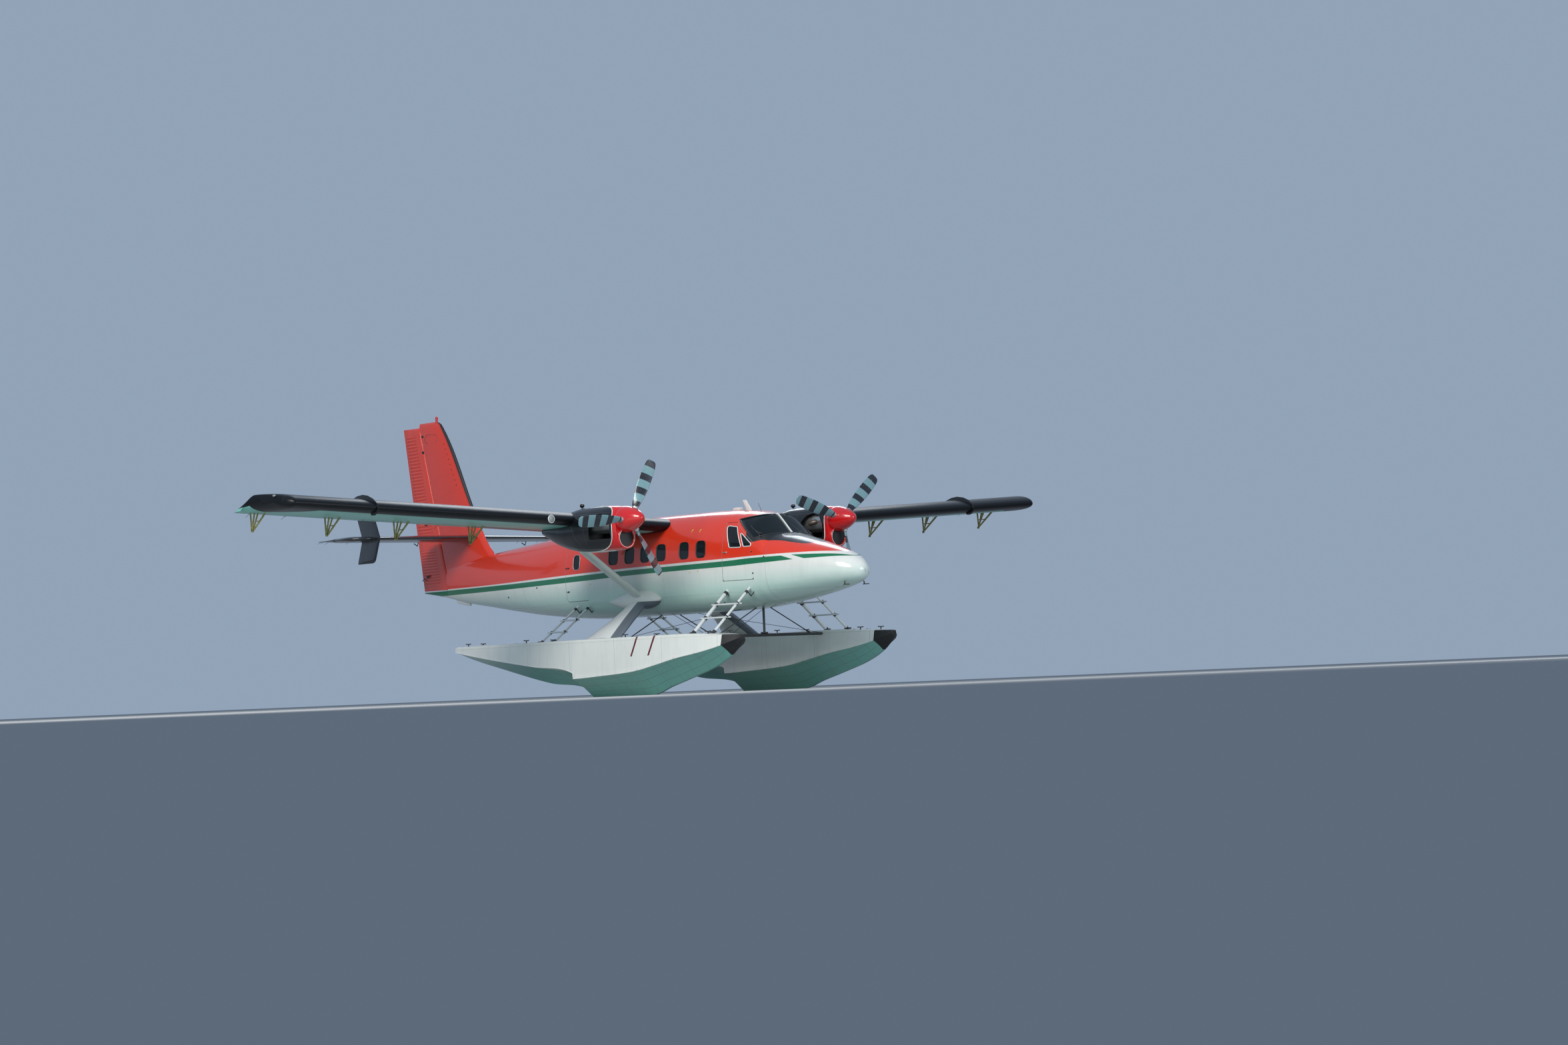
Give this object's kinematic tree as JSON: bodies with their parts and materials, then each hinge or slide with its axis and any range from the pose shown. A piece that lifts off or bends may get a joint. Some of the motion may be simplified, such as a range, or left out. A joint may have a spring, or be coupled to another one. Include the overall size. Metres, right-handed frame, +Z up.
{
  "type": "twin-turboprop floatplane",
  "caption": "High-wing turboprop floatplane on straight floats, with turning propellers, moving tail and wing surfaces, and opening doors.",
  "frame": {"origin": "on the floor under the middle of the length and span, with both float keels on the floor", "axes": "+X towards the nose, +Y to port along the span, +Z up"},
  "size_m": [15.096, 19.81, 6.34],
  "materials": {
    "black_cowl": "gloss black paint with a red nose bowl",
    "black_rubber": "black rubber",
    "black_wing": "black painted aluminium skin",
    "cabin_trim": "moulded cabin trim",
    "clear_glass": "tinted acrylic glazing",
    "engine_metal": "bare machined alloy and steel",
    "float_metal": "white painted aluminium",
    "orange_skin": "gloss orange-red and white paint on aluminium skin",
    "propeller_metal": "black blades with pale bands, red spinner",
    "seat_fabric": "woven seat covers",
    "strut_metal": "pale grey painted alloy"
  },
  "bodies": {
    "airframe": {"cabin_shell": "orange_skin", "nose_section": "orange_skin", "tail_section": "orange_skin", "windscreen": "clear_glass", "instrument_panel": "cabin_trim", "cabin_floor": "cabin_trim", "rear_bulkhead": "cabin_trim", "pilot_seats": "seat_fabric", "cabin_seats_left": "seat_fabric", "cabin_seats_right": "seat_fabric", "cabin_windows_left": "clear_glass", "cabin_windows_right": "clear_glass", "wing": "black_wing", "wing_tip_left": "black_wing", "wing_tip_right": "black_wing", "engine_cowl_left": "black_cowl", "engine_cowl_right": "black_cowl", "engine_left": "engine_metal", "engine_right": "engine_metal", "wing_strut_left": "strut_metal", "wing_strut_right": "strut_metal", "fin": "orange_skin", "tailplane": "black_wing", "finlet_left": "black_wing", "finlet_right": "black_wing", "float_left": "float_metal", "float_right": "float_metal", "bow_bumper_left": "black_rubber", "bow_bumper_right": "black_rubber", "float_leg_left": "float_metal", "float_leg_right": "float_metal", "front_ladder_left": "float_metal", "front_ladder_right": "float_metal", "rear_ladder_left": "float_metal", "rear_ladder_right": "float_metal", "front_spreader": "strut_metal", "rear_spreader": "strut_metal"},
    "propeller_left": {"propeller_left": "propeller_metal"},
    "propeller_right": {"propeller_right": "propeller_metal"},
    "rudder": {"rudder": "orange_skin"},
    "elevator_left": {"elevator_left": "black_wing"},
    "elevator_right": {"elevator_right": "black_wing"},
    "flap_left": {"flap_left": "black_wing"},
    "flap_right": {"flap_right": "black_wing"},
    "aileron_left": {"aileron_left": "black_wing"},
    "aileron_right": {"aileron_right": "black_wing"},
    "crew_door_left": {"crew_door_left": "orange_skin", "crew_door_glass_left": "clear_glass"},
    "rear_door_left": {"rear_door_left": "orange_skin", "rear_door_glass_left": "clear_glass"},
    "crew_door_right": {"crew_door_right": "orange_skin", "crew_door_glass_right": "clear_glass"},
    "rear_door_right": {"rear_door_right": "orange_skin", "rear_door_glass_right": "clear_glass"},
    "baggage_door": {"baggage_door": "orange_skin"},
    "nose_bay_door": {"nose_bay_door": "orange_skin"}
  },
  "joints": [
    {"name": "propeller_spin_left", "type": "hinge", "parent": "airframe", "child": "propeller_left", "pos_m": [3.87, 2.79, 3.454], "axis": [1, 0, 0], "continuous": true},
    {"name": "propeller_spin_right", "type": "hinge", "parent": "airframe", "child": "propeller_right", "pos_m": [3.87, -2.79, 3.454], "axis": [1, 0, 0], "continuous": true},
    {"name": "rudder_hinge", "type": "hinge", "parent": "airframe", "child": "rudder", "pos_m": [-6.21, 0, 3.33], "axis": [-0.2562, 0, 0.9666], "range_deg": [-25, 25]},
    {"name": "elevator_hinge_left", "type": "hinge", "parent": "airframe", "child": "elevator_left", "pos_m": [-5.9, 1.6, 3.58], "axis": [0, 1, 0], "range_deg": [-16, 26]},
    {"name": "elevator_hinge_right", "type": "hinge", "parent": "airframe", "child": "elevator_right", "pos_m": [-5.9, -1.6, 3.58], "axis": [0, 1, 0], "range_deg": [-16, 26]},
    {"name": "flap_hinge_left", "type": "hinge", "parent": "airframe", "child": "flap_left", "pos_m": [0.86, 4.47, 3.13926], "axis": [0, -0.9986, -0.0523], "range_deg": [0, 37.5]},
    {"name": "flap_hinge_right", "type": "hinge", "parent": "airframe", "child": "flap_right", "pos_m": [0.86, -4.47, 3.13926], "axis": [0, -0.9986, 0.0523], "range_deg": [0, 37.5]},
    {"name": "aileron_hinge_left", "type": "hinge", "parent": "flap_left", "child": "aileron_left", "pos_m": [0.7673, 7, 3.66845], "axis": [0, 0.9986, 0.0523], "range_deg": [-20, 20]},
    {"name": "aileron_hinge_right", "type": "hinge", "parent": "flap_right", "child": "aileron_right", "pos_m": [0.7673, -7, 3.66845], "axis": [0, 0.9986, -0.0523], "range_deg": [-20, 20]},
    {"name": "crew_door_hinge_left", "type": "hinge", "parent": "airframe", "child": "crew_door_left", "pos_m": [5.165, 0.8085, 2.73], "axis": [0, 0, -1], "range_deg": [0, 85]},
    {"name": "crew_door_hinge_right", "type": "hinge", "parent": "airframe", "child": "crew_door_right", "pos_m": [5.165, -0.8085, 2.73], "axis": [0, 0, 1], "range_deg": [0, 85]},
    {"name": "rear_door_hinge_left", "type": "hinge", "parent": "airframe", "child": "rear_door_left", "pos_m": [-0.02, 0.872, 2.53], "axis": [0, 0, -1], "range_deg": [0, 95]},
    {"name": "rear_door_hinge_right", "type": "hinge", "parent": "airframe", "child": "rear_door_right", "pos_m": [-0.02, -0.872, 2.53], "axis": [0, 0, 1], "range_deg": [0, 95]},
    {"name": "baggage_door_hinge", "type": "hinge", "parent": "airframe", "child": "baggage_door", "pos_m": [-1.41, 0.792, 2.53], "axis": [0, 0, -1], "range_deg": [0, 90]},
    {"name": "nose_bay_door_hinge", "type": "hinge", "parent": "airframe", "child": "nose_bay_door", "pos_m": [5.85, 0.699, 2.65], "axis": [0.9593, -0.2825, 0], "range_deg": [0, 85]}
  ],
  "couplings": [
    {"joint": "elevator_hinge_right", "follows": "elevator_hinge_left", "ratio": 1},
    {"joint": "flap_hinge_right", "follows": "flap_hinge_left", "ratio": 1},
    {"joint": "aileron_hinge_right", "follows": "aileron_hinge_left", "ratio": -1}
  ]
}
